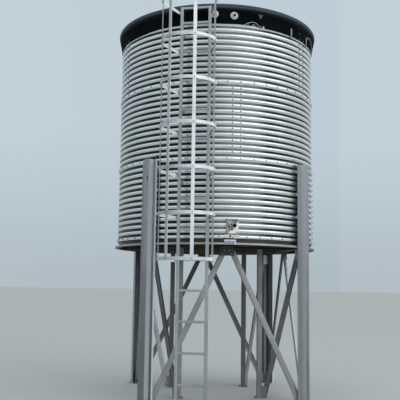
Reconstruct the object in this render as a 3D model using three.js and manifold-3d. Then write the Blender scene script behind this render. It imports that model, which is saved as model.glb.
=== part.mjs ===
// Elevated round silo of corrugated galvanised steel: three courses of curved sheets on a ring and
// a framed floor, carried by four outer and four inner posts, with a caged ladder at the front.
// Millimetres, +Z up. The ladder faces -Y. The origin is on the ground, at the middle of the
// footprint, so the silo's own axis stands a little behind it.

import * as THREE from 'three';
import { mergeVertices } from 'three/addons/utils/BufferGeometryUtils.js';
import Module from 'manifold-3d';

const wasm = await Module();
wasm.setup();

// Driving dimensions of the wall
const PITCH = 76.2;                 // corrugation pitch
const GROOVES = 13;                 // grooves in one course
const COURSES = 3;
const SEAM_PITCH = 91.2;            // groove to groove across a horizontal seam
const LOWEST_GROOVE = 2140;         // height of the lowest groove above the ground
const GROOVE_RADIUS = 1385;
const CREST_RADIUS = 1397.5;
const WALL_INSIDE = 1372.3;
const FACETS = 36;                  // flats round the wall
const SHEETS = 3;                   // sheets in one course
const WALL_FOOT = 2080;
const WALL_TOP = 5118.7;
const GAP = 0.3;                    // clearance where one piece is cut by or seated on another

// Ring, floor and rim
const RING_BOTTOM = 2000;
const RING_OUTSIDE = 1425;
const RING_INSIDE = 1366;
const RING_TOP = 2112;
const RING_THICK = 6;
const RING_LIP = 26;
const FLOOR_BOTTOM = 2092;
const FLOOR_THICK = 6;
const RIM_FOOT = 4878;
const RIM_TOP = 5132;
const ROOF_RADIUS = 1396;
const ROOF_RISE = 190;
const ROOF_EDGE = 14;

// Posts and braces; a bay is the space between two outer posts
const FRONT_BAY_TURN = 19;          // degrees from the ladder round to the middle of the front bay
const POST_TOP = 3110;
const POST_BACK = RING_OUTSIDE + GAP;
const POST_DEPTH = 94;
const POST_FACE = 78;
const POST_FOOT_WIDTH = 90;
const POST_WIDTH = 216;
const POST_LIP = 36;
const STEEL = 4;
const BASE_THICK = 10;
const INNER_POST = 65;
const INNER_LIP = 16;
const INNER_OFFSET = 545;           // inner posts from the axis, along and across the bays
const BAY_PLANE = 1045;             // foot and head plates of the braces, from the axis
const BEAM_HEIGHT = FLOOR_BOTTOM - GAP - RING_BOTTOM;
const BEAM_WIDTH = 45;
const BRACE_WIDTH = 72;
const BRACE_DEPTH = 25;
const GUSSET_THICK = 8;
const GUSSET_TALL = 150;

// Ladder and cage
const RAIL_SPACING = 365;
const RAIL = 38;
const RAIL_TOP = 5045;
const LADDER_OUT = 1550;            // middle of the rails from the silo's axis
const RUNG = 28;
const FIRST_RUNG = 290;
const RUNG_STEP = 378.5;
const RUNGS = 13;
const TOP_RUNG = RAIL_TOP - RUNG / 2;
const HOOP_RADIUS = 345;
const HOOP_OUT = 380;               // centre of the hoop's round front from the rails
const HOOP_STEPS = 23;              // flats round the hoop's front
const HOOP_TALL = 40;
const HOOP_THICK = 6;
const HOOPS = 7;
const LOWEST_HOOP = 1790;
const HOOP_STEP = 530;
const BAR_WIDTH = 42;
const BAR_THICK = 6;
const BAR_TURNS = [-11, -4, 3, 10].map((flat) => (flat * 180) / HOOP_STEPS);

// The footprint runs from the cage to the back of the rim
const RIM_OUTSIDE = 1447;
const CAGE_FRONT = LADDER_OUT + HOOP_OUT + HOOP_RADIUS * Math.cos(Math.PI / HOOP_STEPS / 2);
const AXIS_Y = (CAGE_FRONT - RIM_OUTSIDE) / 2;

const rad = THREE.MathUtils.degToRad;
const FACET_TURN = rad(360 / FACETS);
const CORNER = 1 / Math.cos(FACET_TURN / 2);   // corner radius of a facet ring for a flat at 1

// Materials
const galvanised = new THREE.MeshStandardMaterial({ color: 0xb4bcc2, roughness: 0.35, metalness: 0.9 });
const weathered = new THREE.MeshStandardMaterial({ color: 0x8d979f, roughness: 0.5, metalness: 0.8 });
const underside = new THREE.MeshStandardMaterial({ color: 0x4a4640, roughness: 0.7, metalness: 0.5 });
const liner = new THREE.MeshStandardMaterial({ color: 0x15181b, roughness: 0.5, metalness: 0.0 });
const plastic = new THREE.MeshStandardMaterial({ color: 0xd8dcdc, roughness: 0.5, metalness: 0.0 });

// Solids: geometry to manifold and back
function solid(geometry) {
  const bare = geometry.clone();
  bare.deleteAttribute('normal');
  bare.deleteAttribute('uv');
  const merged = mergeVertices(bare, 1e-4);
  return new wasm.Manifold(new wasm.Mesh({
    numProp: 3,
    vertProperties: new Float32Array(merged.attributes.position.array),
    triVerts: new Uint32Array(merged.index.array),
  }));
}

function geometryOf(manifold) {
  const mesh = manifold.getMesh();
  const geometry = new THREE.BufferGeometry();
  geometry.setAttribute('position', new THREE.BufferAttribute(mesh.vertProperties, 3));
  geometry.setIndex(new THREE.BufferAttribute(mesh.triVerts, 1));
  geometry.computeVertexNormals();
  return geometry;
}

function join(geometries) {
  return geometryOf(geometries.map(solid).reduce((whole, next) => whole.add(next)));
}

// A box from its lowest to its highest corner
function block(x0, x1, y0, y1, z0, z1) {
  const box = new THREE.BoxGeometry(x1 - x0, y1 - y0, z1 - z0);
  return box.translate((x0 + x1) / 2, (y0 + y1) / 2, (z0 + z1) / 2);
}

// A section drawn in XY and drawn out along Z
function prism(points, z0, z1) {
  const shape = new THREE.Shape(points.map(([x, y]) => new THREE.Vector2(x, y)));
  const geometry = new THREE.ExtrudeGeometry(shape, { depth: z1 - z0, bevelEnabled: false });
  return geometry.translate(0, 0, z0);
}

// The outline of a sheet bent along a line of points, thickened to its left
function bentSheet(path, thick) {
  const line = path.map(([x, y]) => new THREE.Vector2(x, y));
  const left = line.map((point, i) => {
    const before = point.clone().sub(line[Math.max(i - 1, 0)]).normalize();
    const after = line[Math.min(i + 1, line.length - 1)].clone().sub(point).normalize();
    const a = i === 0 ? after : before;
    const b = i === line.length - 1 ? before : after;
    const normal = new THREE.Vector2(-a.y - b.y, a.x + b.x).normalize();
    const stretch = thick / (normal.x * -a.y + normal.y * a.x);
    return point.clone().addScaledVector(normal, stretch);
  });
  return [...line, ...left.reverse()].map((p) => [p.x, p.y]);
}

// A ring turned from a profile of [radius to the flat, height], with the flats facing the posts
function facetRing(profile) {
  const points = profile.map(([r, z]) => new THREE.Vector2(r * CORNER, z));
  const closed = points[0].x === 0 ? points : [...points, points[0].clone()];
  const geometry = new THREE.LatheGeometry(closed, FACETS, 0, 2 * Math.PI);
  geometry.rotateX(Math.PI / 2);
  geometry.rotateZ(rad(FRONT_BAY_TURN + 45 + 180 / FACETS));
  return geometry;
}

// Groups: the silo's own axis, and the post frame turned to its bays
const model = new THREE.Group();
const silo = new THREE.Group();
silo.position.y = AXIS_Y;
model.add(silo);
const frame = new THREE.Group();
frame.rotation.z = rad(FRONT_BAY_TURN);
silo.add(frame);

function place(parent, name, geometry, material, turn = 0) {
  const mesh = new THREE.Mesh(geometry, material);
  mesh.name = name;
  mesh.rotation.z = rad(turn);
  parent.add(mesh);
  return mesh;
}

// Wall: sheets of one course, each a third of the round, corrugated outside
const courseGap = (GROOVES - 1) * PITCH + SEAM_PITCH;

function crestHeight(course, crest) {
  return LOWEST_GROOVE + course * courseGap + (crest - 0.5) * PITCH;
}

function courseProfile(course) {
  const first = LOWEST_GROOVE + course * courseGap;
  const last = first + (GROOVES - 1) * PITCH;
  const foot = course === 0 ? WALL_FOOT : first - SEAM_PITCH / 2 + GAP / 2;
  const top = course === COURSES - 1 ? WALL_TOP : last + SEAM_PITCH / 2 - GAP / 2;
  const outside = [[CREST_RADIUS, foot]];
  for (let i = 0; i < GROOVES; i += 1) {
    outside.push([GROOVE_RADIUS, first + i * PITCH]);
    if (i < GROOVES - 1) outside.push([CREST_RADIUS, first + (i + 0.5) * PITCH]);
  }
  outside.push([CREST_RADIUS, top]);
  return [[WALL_INSIDE, foot], ...outside, [WALL_INSIDE, top]];
}

function sheetGeometry(profile) {
  // The profile is swept over a third of the facets, with its two ends closed by the same outline
  const steps = FACETS / SHEETS;
  const outline = profile.map(([r, z]) => new THREE.Vector2(r * CORNER, z));
  const cap = THREE.ShapeUtils.triangulateShape(outline, []);
  const count = outline.length;
  const positions = [];
  const inset = GAP / 2 / WALL_INSIDE;
  for (let s = 0; s <= steps; s += 1) {
    const turn = s === 0 ? inset : s === steps ? s * FACET_TURN - inset : s * FACET_TURN;
    outline.forEach((p) => positions.push(p.x * Math.sin(turn), -p.x * Math.cos(turn), p.y));
  }
  const faces = [];
  for (let s = 0; s < steps; s += 1) {
    for (let i = 0; i < count; i += 1) {
      const j = (i + 1) % count;
      const [a, b, c, d] = [s * count + i, s * count + j, (s + 1) * count + j, (s + 1) * count + i];
      faces.push(a, d, b, b, d, c);
    }
  }
  const end = steps * count;
  cap.forEach(([a, b, c]) => {
    faces.push(a, b, c);
    faces.push(end + a, end + c, end + b);
  });
  const geometry = new THREE.BufferGeometry();
  geometry.setAttribute('position', new THREE.Float32BufferAttribute(positions, 3));
  geometry.setIndex(faces);
  geometry.computeVertexNormals();
  return geometry;
}

const courseNames = ['lower', 'middle', 'upper'];
const firstFacetEdge = FRONT_BAY_TURN + 45 + 180 / FACETS;
const seamTurns = [20, -50, 0].map((shift) => firstFacetEdge + shift);
courseNames.forEach((name, course) => {
  const geometry = sheetGeometry(courseProfile(course));
  for (let i = 0; i < SHEETS; i += 1) {
    const turn = seamTurns[course] + i * (360 / SHEETS);
    place(silo, `${name}_wall_sheet_${i + 1}`, geometry, galvanised, turn);
  }
});

// Bottom ring: an upstand inside the wall, a flange and its turned-up edge
place(silo, 'bottom_ring', facetRing([
  [RING_INSIDE, RING_BOTTOM],
  [RING_OUTSIDE, RING_BOTTOM],
  [RING_OUTSIDE, RING_BOTTOM + RING_LIP],
  [RING_OUTSIDE - RING_THICK, RING_BOTTOM + RING_LIP],
  [RING_OUTSIDE - RING_THICK, RING_BOTTOM + RING_THICK],
  [RING_INSIDE + RING_THICK, RING_BOTTOM + RING_THICK],
  [RING_INSIDE + RING_THICK, RING_TOP],
  [RING_INSIDE, RING_TOP],
]), weathered);

// Floor plate inside the ring
place(silo, 'floor_plate', facetRing([
  [0, FLOOR_BOTTOM],
  [RING_INSIDE - GAP, FLOOR_BOTTOM],
  [RING_INSIDE - GAP, FLOOR_BOTTOM + FLOOR_THICK],
  [0, FLOOR_BOTTOM + FLOOR_THICK],
]), underside);

// Rim: the liner folded over the wall's upper edge, with a rounded lip
const SKIRT_INSIDE = CREST_RADIUS + GAP;
const SKIRT_OUTSIDE = SKIRT_INSIDE + 5;
place(silo, 'rim_band', facetRing([
  [SKIRT_INSIDE, RIM_FOOT],
  [SKIRT_OUTSIDE, RIM_FOOT],
  [SKIRT_OUTSIDE, RIM_TOP - 78],
  [RIM_OUTSIDE / CORNER - 3, RIM_TOP - 52],
  [RIM_OUTSIDE / CORNER, RIM_TOP - 30],
  [RIM_OUTSIDE / CORNER - 8, RIM_TOP - 9],
  [RIM_OUTSIDE / CORNER - 26, RIM_TOP],
  [WALL_INSIDE, RIM_TOP],
  [WALL_INSIDE, WALL_TOP + GAP],
  [SKIRT_INSIDE, WALL_TOP + GAP],
]), liner);

// Roof: a low cone on the rim, with a round hatch near the ladder and a cap at the middle
const ROOF_FOOT = RIM_TOP + GAP;
const HATCH_OUT = 780;
const HATCH_RADIUS = 250;
const HATCH_TOP = ROOF_FOOT + 140;
const CAP_RADIUS = 160;
const CAP_TOP = ROOF_FOOT + ROOF_RISE + 20;

function upright(radius, z0, z1, sides) {
  const cylinder = new THREE.CylinderGeometry(radius, radius, z1 - z0, sides);
  return cylinder.rotateX(Math.PI / 2).translate(0, 0, (z0 + z1) / 2);
}

function roofGeometry() {
  const cone = solid(facetRing([
    [0, ROOF_FOOT],
    [ROOF_RADIUS, ROOF_FOOT],
    [ROOF_RADIUS, ROOF_FOOT + ROOF_EDGE],
    [0, ROOF_FOOT + ROOF_RISE],
  ]));
  const hollow = solid(facetRing([
    [0, ROOF_FOOT - 10],
    [WALL_INSIDE, ROOF_FOOT - 10],
    [WALL_INSIDE, ROOF_FOOT + 2],
    [0, ROOF_FOOT + ROOF_RISE - ROOF_EDGE],
  ]));
  const hatch = solid(upright(HATCH_RADIUS, ROOF_FOOT, HATCH_TOP, 24).translate(0, -HATCH_OUT, 0));
  const cap = solid(upright(CAP_RADIUS, ROOF_FOOT, CAP_TOP, 24));
  return geometryOf(cone.add(hatch).add(cap).subtract(hollow));
}
place(silo, 'roof_cone', roofGeometry(), liner);

// Overflow fittings: two small flanged sockets on the band
const OVERFLOWS = [[8.8, 4996], [19.1, 4983]];

function socketGeometry(height) {
  const back = -(SKIRT_OUTSIDE * CORNER + GAP);
  const flange = new THREE.CylinderGeometry(50, 50, 10, 24).translate(0, back - 5, height);
  const collar = new THREE.CylinderGeometry(29, 29, 32, 24).translate(0, back - 16, height);
  const bore = new THREE.CylinderGeometry(19, 19, 34, 24).translate(0, back - 20, height);
  return geometryOf(solid(flange).add(solid(collar)).subtract(solid(bore)));
}
OVERFLOWS.forEach(([turn, height], i) => {
  place(silo, `overflow_fitting_${i + 1}`, socketGeometry(height), plastic, turn);
});

// Splice plate over the joint in the bottom ring
const SPLICE_TURN = 19;             // the ring's edge that the plate lies on
const SPLICE_LEFT = -105;
const SPLICE_RIGHT = 44;
const SPLICE_TALL = 62;
const SPLICE_THICK = 6;
const spliceBack = -(RING_OUTSIDE * CORNER + GAP);
const splice = block(SPLICE_LEFT, SPLICE_RIGHT, spliceBack - SPLICE_THICK, spliceBack,
  RING_BOTTOM, RING_BOTTOM + SPLICE_TALL);
place(silo, 'ring_splice_plate', splice, galvanised, SPLICE_TURN);

// Outlet: a plate on the wall with a short round port
const OUTLET_TURN = 19;
const OUTLET_HEIGHT = 2235;         // middle of the plate
const OUTLET_HALF = 81;
const OUTLET_HALF_TALL = 94;
const OUTLET_THICK = 6;
const PORT_SIDE = 23;               // port's middle, right of the plate's
const PORT_HEIGHT = 2239;
const PORT_RADIUS = 32;
const PORT_WALL = 7;
const PORT_LENGTH = 50;
const PORT_FLOOR = 5;               // what the bore leaves at its inner end

function outletGeometry() {
  const back = -(CREST_RADIUS * CORNER + GAP);
  const plate = block(-OUTLET_HALF, OUTLET_HALF, back - OUTLET_THICK, back,
    OUTLET_HEIGHT - OUTLET_HALF_TALL, OUTLET_HEIGHT + OUTLET_HALF_TALL);
  const port = new THREE.CylinderGeometry(PORT_RADIUS, PORT_RADIUS, PORT_LENGTH, 20);
  port.translate(PORT_SIDE, back - PORT_LENGTH / 2, PORT_HEIGHT);
  const bore = new THREE.CylinderGeometry(PORT_RADIUS - PORT_WALL, PORT_RADIUS - PORT_WALL, PORT_LENGTH, 20);
  bore.translate(PORT_SIDE, back - PORT_FLOOR - PORT_LENGTH / 2, PORT_HEIGHT);
  return geometryOf(solid(plate).add(solid(port)).subtract(solid(bore)));
}
place(silo, 'outlet_fitting', outletGeometry(), galvanised, OUTLET_TURN);

// Floor beams: two over the braces' heads, two over the inner posts, and two across
const ringBore = solid(facetRing([
  [0, RING_BOTTOM - 1],
  [RING_INSIDE - GAP, RING_BOTTOM - 1],
  [RING_INSIDE - GAP, RING_TOP],
  [0, RING_TOP],
]).rotateZ(-rad(FRONT_BAY_TURN)));

function beamSection(width, height) {
  return bentSheet([[width / 2, 0], [-width / 2, 0], [-width / 2, height], [width / 2, height]], -STEEL);
}

// A channel along X, its web to the outside of the bay
function channelAlongX(length, outward) {
  const section = beamSection(BEAM_WIDTH, BEAM_HEIGHT).map(([y, z]) => [y * -outward, z]);
  const beam = prism(section, -length / 2, length / 2);
  beam.applyMatrix4(new THREE.Matrix4().makeBasis(
    new THREE.Vector3(0, 1, 0), new THREE.Vector3(0, 0, 1), new THREE.Vector3(1, 0, 0)));
  return beam.translate(0, 0, RING_BOTTOM);
}

// The plate below a beam that the two braces of a bay meet on
function headGusset() {
  const half = GUSSET_THICK / 2;
  return block(-95, 95, -BAY_PLANE - half, -BAY_PLANE + half, RING_BOTTOM - 120, RING_BOTTOM + STEEL);
}

function mainBeam(y) {
  const beam = solid(channelAlongX(2 * RING_INSIDE, Math.sign(-y)).translate(0, y, 0)).intersect(ringBore);
  return beam;
}

const outerBeam = geometryOf(mainBeam(-BAY_PLANE).add(solid(headGusset())));
place(frame, 'floor_beam_front', outerBeam, underside);
place(frame, 'floor_beam_back', outerBeam, underside, 180);
const innerBeam = geometryOf(mainBeam(-INNER_OFFSET));
place(frame, 'floor_beam_inner_front', innerBeam, underside);
place(frame, 'floor_beam_inner_back', innerBeam, underside, 180);

const crossLength = 2 * (INNER_OFFSET - BEAM_WIDTH / 2 - GAP);
const crossBeam = join([channelAlongX(crossLength, 1).translate(0, -BAY_PLANE, 0), headGusset()]);
place(frame, 'floor_beam_right', crossBeam, underside, 90);
place(frame, 'floor_beam_left', crossBeam, underside, -90);

// Outer posts: a lipped hat section outside the ring, with spacers to the wall, a base plate,
// foot plates for the braces and a head plate for the diagonal
const LAND = POST_BACK + STEEL;     // outer face of the two lands that lie along the wall
const FACE_OUT = POST_BACK + POST_DEPTH;
const PLATE_FROM = LAND - 2;

function outerPostGeometry() {
  const half = POST_WIDTH / 2;
  const hat = bentSheet([
    [half, -LAND - POST_LIP],
    [half, -LAND],
    [POST_FOOT_WIDTH / 2, -LAND],
    [POST_FACE / 2, -FACE_OUT],
    [-POST_FACE / 2, -FACE_OUT],
    [-POST_FOOT_WIDTH / 2, -LAND],
    [-half, -LAND],
    [-half, -LAND - POST_LIP],
  ], -STEEL);
  const pieces = [prism(hat, BASE_THICK / 2, POST_TOP)];
  pieces.push(block(-half - 12, half + 12, -FACE_OUT - 25, -POST_BACK + 25, 0, BASE_THICK));
  for (const crest of [4, 8, 12]) {
    const height = crestHeight(0, crest);
    for (const side of [-1, 1]) {
      const middle = side * (POST_FOOT_WIDTH / 2 + half) / 2;
      pieces.push(block(middle - 16, middle + 16, -POST_BACK - 2, -CREST_RADIUS - GAP,
        height - 20, height + 20));
    }
  }
  const plate = GUSSET_THICK / 2;
  pieces.push(block(-plate, plate, -FACE_OUT + 2, -POST_BACK + 95,
    RING_BOTTOM - GUSSET_TALL, RING_BOTTOM - 8));
  for (const side of [-1, 1]) {
    const foot = block(-plate, plate, 0, 135, BASE_THICK - 2, BASE_THICK + GUSSET_TALL);
    foot.rotateZ(side * rad(45));
    foot.translate(side * (PLATE_FROM - BAY_PLANE * Math.SQRT2), -PLATE_FROM, 0);
    pieces.push(foot);
  }
  return join(pieces);
}

const cornerNames = ['front_right', 'back_right', 'back_left', 'front_left'];
const outerPost = outerPostGeometry();
cornerNames.forEach((name, i) => {
  place(frame, `outer_post_${name}`, outerPost, weathered, 45 + 90 * i);
});

// Inner posts: a lipped channel under the inner beams, with a base plate and a foot plate
function innerPostGeometry(outwardTurn) {
  const half = INNER_POST / 2;
  const section = bentSheet([
    [half, -half + INNER_LIP],
    [half, -half],
    [-half, -half],
    [-half, half],
    [half, half],
    [half, half - INNER_LIP],
  ], -STEEL);
  const post = prism(section, BASE_THICK / 2, RING_BOTTOM - GAP);
  const base = block(-55, 55, -55, 55, 0, BASE_THICK);
  const plate = block(-GUSSET_THICK / 2, GUSSET_THICK / 2, -125, -30,
    BASE_THICK - 2, BASE_THICK + GUSSET_TALL);
  plate.rotateZ(rad(outwardTurn));
  return join([post, base, plate]);
}

const innerCorners = [[1, -1], [1, 1], [-1, 1], [-1, -1]];
innerCorners.forEach(([along, across], i) => {
  const mesh = place(frame, `inner_post_${cornerNames[i]}`, innerPostGeometry(45 + 90 * i), weathered);
  mesh.position.set(along * INNER_OFFSET, across * INNER_OFFSET, 0);
});

// A brace: a channel between two points of the XZ plane, its web at y and its flanges behind it
function brace(from, to, y) {
  const start = new THREE.Vector2(...from);
  const end = new THREE.Vector2(...to);
  const half = BRACE_WIDTH / 2;
  const section = bentSheet([[half, BRACE_DEPTH], [half, 0], [-half, 0], [-half, BRACE_DEPTH]], -STEEL);
  const along = end.clone().sub(start);
  const bar = prism(section, 0, along.length());
  const direction = new THREE.Vector3(along.x, 0, along.y).normalize();
  const behind = new THREE.Vector3(0, 1, 0);
  const across = new THREE.Vector3().crossVectors(behind, direction);
  bar.applyMatrix4(new THREE.Matrix4().makeBasis(across, behind, direction));
  return bar.translate(start.x, y, start.y);
}

// Bay braces: an inverted V in each bay, its head a little right of the middle
const LEFT_FOOT = [-918, 95];
const LEFT_HEAD = [-28, RING_BOTTOM - 38];
const RIGHT_FOOT = [938, 95];
const RIGHT_HEAD = [60, RING_BOTTOM - 38];
const bayNames = ['front', 'right', 'back', 'left'];
bayNames.forEach((name, i) => {
  const y = -BAY_PLANE + GUSSET_THICK / 2 + GAP;
  const right = brace(RIGHT_FOOT, RIGHT_HEAD, y);
  const left = brace(LEFT_FOOT, LEFT_HEAD, y);
  place(frame, `brace_${name}_a`, left, galvanised, 90 * i);
  place(frame, `brace_${name}_b`, right, galvanised, 90 * i);
});

// Diagonals: from each inner post's foot out to the head of the outer post behind it
const innerOut = INNER_OFFSET * Math.SQRT2;
const diagonal = brace([innerOut + 81, 62], [POST_BACK - 60, RING_BOTTOM - 60], GUSSET_THICK / 2 + GAP);
cornerNames.forEach((name, i) => {
  place(frame, `diagonal_${name}`, diagonal, weathered, -90 + 45 + 90 * i);
});

// Ladder: two rails, the rungs and four stand-offs to the wall
function crestAt(x) {
  const turn = Math.asin(x / CREST_RADIUS);
  const postTurn = rad(FRONT_BAY_TURN + 45);
  const flat = Math.round((turn - postTurn) / FACET_TURN) * FACET_TURN + postTurn;
  return -(CREST_RADIUS - x * Math.sin(flat)) / Math.cos(flat);
}

const STAND_OFF_HEIGHTS = [crestHeight(0, 9), crestHeight(1, 8), crestHeight(2, 8)];

function ladderGeometry() {
  const halfRail = RAIL / 2;
  const halfRung = RUNG / 2;
  const halfSpacing = RAIL_SPACING / 2;
  const pieces = [];
  for (const side of [-1, 1]) {
    const x = side * halfSpacing;
    pieces.push(block(x - halfRail, x + halfRail, -LADDER_OUT - halfRail, -LADDER_OUT + halfRail,
      0, RAIL_TOP));
    for (const height of STAND_OFF_HEIGHTS) {
      const wall = Math.min(crestAt(x - 20), crestAt(x + 20)) - GAP;
      pieces.push(block(x - 3, x + 3, -LADDER_OUT, wall - 5, height - 20, height + 20));
      pieces.push(block(x - 20, x + 20, wall - 6, wall, height - 30, height + 30));
    }
  }
  const heights = Array.from({ length: RUNGS }, (unused, i) => FIRST_RUNG + i * RUNG_STEP);
  for (const height of [...heights, TOP_RUNG]) {
    pieces.push(block(-halfSpacing, halfSpacing, -LADDER_OUT - halfRung, -LADDER_OUT + halfRung,
      height - halfRung, height + halfRung));
  }
  return join(pieces);
}
place(silo, 'ladder', ladderGeometry(), galvanised);

// Cage hoops: a round front whose ends run back and in to the rails
const HOOP_END = RAIL_SPACING / 2 + RAIL / 2 + GAP;

function hoopLine(radius, endX) {
  const points = [[endX, -LADDER_OUT + RAIL / 2]];
  for (let i = 0; i <= HOOP_STEPS; i += 1) {
    const turn = Math.PI / 2 - (i / HOOP_STEPS) * Math.PI;
    points.push([radius * Math.sin(turn), -LADDER_OUT - HOOP_OUT - radius * Math.cos(turn)]);
  }
  points.push([-endX, -LADDER_OUT + RAIL / 2]);
  return points;
}

const hoopOutline = [
  ...hoopLine(HOOP_RADIUS, HOOP_END + HOOP_THICK),
  ...hoopLine(HOOP_RADIUS - HOOP_THICK, HOOP_END).reverse(),
];
const hoop = prism(hoopOutline, -HOOP_TALL / 2, HOOP_TALL / 2);
for (let i = 0; i < HOOPS; i += 1) {
  const mesh = place(silo, `cage_hoop_${i + 1}`, hoop, galvanised);
  mesh.position.z = LOWEST_HOOP + i * HOOP_STEP;
}

// Cage bars: upright flats inside the hoops
const BAR_FOOT = LOWEST_HOOP - HOOP_TALL / 2;
const BAR_TOP = LOWEST_HOOP + (HOOPS - 1) * HOOP_STEP + HOOP_TALL / 2;
const barOut = (HOOP_RADIUS - HOOP_THICK) * Math.cos(Math.PI / HOOP_STEPS / 2) - GAP;
const bar = block(-BAR_WIDTH / 2, BAR_WIDTH / 2, -barOut, -barOut + BAR_THICK, BAR_FOOT, BAR_TOP);
BAR_TURNS.forEach((turn, i) => {
  const mesh = place(silo, `cage_bar_${i + 1}`, bar, galvanised, turn);
  mesh.position.y = -LADDER_OUT - HOOP_OUT;
});

export default model;
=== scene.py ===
# Elevated corrugated grain silo on braced posts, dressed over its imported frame.
# Metres, +Z up, ladder at -Y. Turns are degrees round the silo's axis from -Y towards +X.

from math import atan2, cos, degrees, exp, pi, radians, sin, sqrt, tan
import bpy
from mathutils import Matrix, Vector, noise


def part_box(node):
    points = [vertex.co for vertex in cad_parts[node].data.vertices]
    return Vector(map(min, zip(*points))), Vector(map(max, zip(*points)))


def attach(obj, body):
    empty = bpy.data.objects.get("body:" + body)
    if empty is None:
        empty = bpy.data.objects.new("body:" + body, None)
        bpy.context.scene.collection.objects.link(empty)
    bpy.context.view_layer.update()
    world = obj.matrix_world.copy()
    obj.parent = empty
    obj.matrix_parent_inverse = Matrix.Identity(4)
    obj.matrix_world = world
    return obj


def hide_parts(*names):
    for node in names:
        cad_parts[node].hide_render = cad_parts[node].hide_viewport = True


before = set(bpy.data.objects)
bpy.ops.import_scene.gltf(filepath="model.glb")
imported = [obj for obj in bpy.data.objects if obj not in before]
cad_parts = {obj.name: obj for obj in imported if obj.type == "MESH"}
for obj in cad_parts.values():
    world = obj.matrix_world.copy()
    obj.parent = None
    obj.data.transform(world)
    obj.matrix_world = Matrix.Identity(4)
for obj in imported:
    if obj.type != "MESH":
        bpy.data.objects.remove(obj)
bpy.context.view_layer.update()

# Sizes shared with the solids
AXIS_Y = sum(corner[1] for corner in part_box("rim_band")) / 2
PITCH = 0.0762
GROOVES = 13
SEAM_PITCH = 0.0912
COURSE_RISE = (GROOVES - 1) * PITCH + SEAM_PITCH
LOWEST_GROOVE = 2.14
GROOVE_RADIUS = 1.385
CREST_RADIUS = 1.3975
WALL_FOOT = 2.08
WALL_TOP = 5.117
SHEET_THICK = 0.0012
LAP_PROUD = 0.0014
FRAME_THICK = 0.004
CLEAR = 0.0003
RING_BOTTOM = 2.0
BAY_TURN = 19
BAY_PLANE = 1.045
INNER_OUT = 0.545
LADDER_OUT = 1.55
RAIL_OUT = 0.1825
HOOP_OUT = 0.38
HOOP_RADIUS = 0.345
HOOP_HEIGHTS = [1.79 + 0.53 * i for i in range(7)]
HOOP_FLATS = 23
BAR_FLATS = (-11, -4, 3, 10)
OUTLET_TURN = 19
OUTLET_HEIGHT = 2.235
CORNERS = ("front_right", "back_right", "back_left", "front_left")
BAYS = ("front", "right", "back", "left")

# Bolt sizes, across the flats
SMALL_BOLT = 0.013
POST_BOLT = 0.016
BRACE_BOLT = 0.019
ANCHOR_BOLT = 0.024


def moved(x=0.0, y=0.0, z=0.0, turn=0.0):
    """A step along each axis, and then a turn round Z"""
    return Matrix.Translation((x, y, z)) @ Matrix.Rotation(radians(turn), 4, "Z")


def turned(turn):
    """The silo's own frame turned round its axis: x along the wall, -y outwards"""
    return moved(y=AXIS_Y, turn=turn)


def bay(turn):
    return turned(BAY_TURN + turn)


def outwards(turn):
    a = radians(turn)
    return Vector((sin(a), -cos(a), 0))


def wall_point(turn, r, z):
    a = radians(turn)
    return Vector((r * sin(a), AXIS_Y - r * cos(a), z))


def groove_height(course, groove):
    """A groove's height, counted from its course's lowest; the crests are halves"""
    return LOWEST_GROOVE + course * COURSE_RISE + groove * PITCH


def new_object(name, data):
    made = bpy.data.objects.new(name, data)
    bpy.context.scene.collection.objects.link(made)
    return made


# Camera: the photograph's own view, found from the wall's ellipses
CAMERA_TURN = 10.0
CAMERA_DISTANCE = 10.2497
CAMERA_HEIGHT = 1.4653
CAMERA_PITCH = 7.041
CAMERA_YAW = -1.2223
CAMERA_ROLL = 0.8242
SENSOR_WIDTH = 36
FOCAL_PER_WIDTH = 1.76841


def add_camera():
    data = bpy.data.cameras.new("camera")
    data.sensor_width = SENSOR_WIDTH
    data.lens = SENSOR_WIDTH * FOCAL_PER_WIDTH
    data.clip_end = 500
    camera = new_object("camera", data)
    tilt = Matrix.Rotation(radians(90 + CAMERA_PITCH), 4, "X")
    place = moved(0, -CAMERA_DISTANCE, CAMERA_HEIGHT, -CAMERA_YAW) @ tilt @ moved(turn=CAMERA_ROLL)
    camera.matrix_world = turned(CAMERA_TURN) @ place
    bpy.context.scene.camera = camera


# Material helpers
def node(tree, kind, inputs=None, **settings):
    made = tree.nodes.new("ShaderNode" + kind)
    for key, value in settings.items():
        setattr(made, key, value)
    for key, value in (inputs or {}).items():
        if isinstance(value, bpy.types.NodeSocket):
            tree.links.new(value, made.inputs[key])
        else:
            made.inputs[key].default_value = value
    return made


def new_material(name):
    material = bpy.data.materials.new(name)
    material.use_nodes = True
    tree = material.node_tree
    return material, tree, tree.nodes["Principled BSDF"]


def object_place(tree):
    return node(tree, "TexCoord").outputs["Object"]


def surface_normal(tree):
    return node(tree, "NewGeometry").outputs["Normal"]


def part_of(tree, vector, axis="Z"):
    return node(tree, "SeparateXYZ", {0: vector}).outputs[axis]


def vectors(tree, kind, *inputs):
    made = node(tree, "VectorMath", dict(enumerate(inputs)), operation=kind)
    return made.outputs["Value" if kind in ("DOT_PRODUCT", "LENGTH") else "Vector"]


def scaled(tree, colour, factor):
    return node(tree, "VectorMath", {0: colour, "Scale": factor}, operation="SCALE").outputs[0]


def numbers(tree, kind, *inputs):
    """The result of a Math node; ADD and MULTIPLY stay between 0 and 1"""
    return node(tree, "Math", dict(enumerate(inputs)), operation=kind,
                use_clamp=kind in ("ADD", "MULTIPLY")).outputs[0]


def times(tree, a, b):
    return numbers(tree, "MULTIPLY", a, b)


def mapped(tree, stretch=(1, 1, 1)):
    return node(tree, "Mapping", {"Vector": object_place(tree), "Scale": stretch}).outputs["Vector"]


def clouds(tree, scale, detail=4, stretch=(1, 1, 1)):
    inputs = {"Vector": mapped(tree, stretch), "Scale": scale, "Detail": detail, "Roughness": 0.55}
    return node(tree, "TexNoise", inputs).outputs["Fac"]


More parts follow.
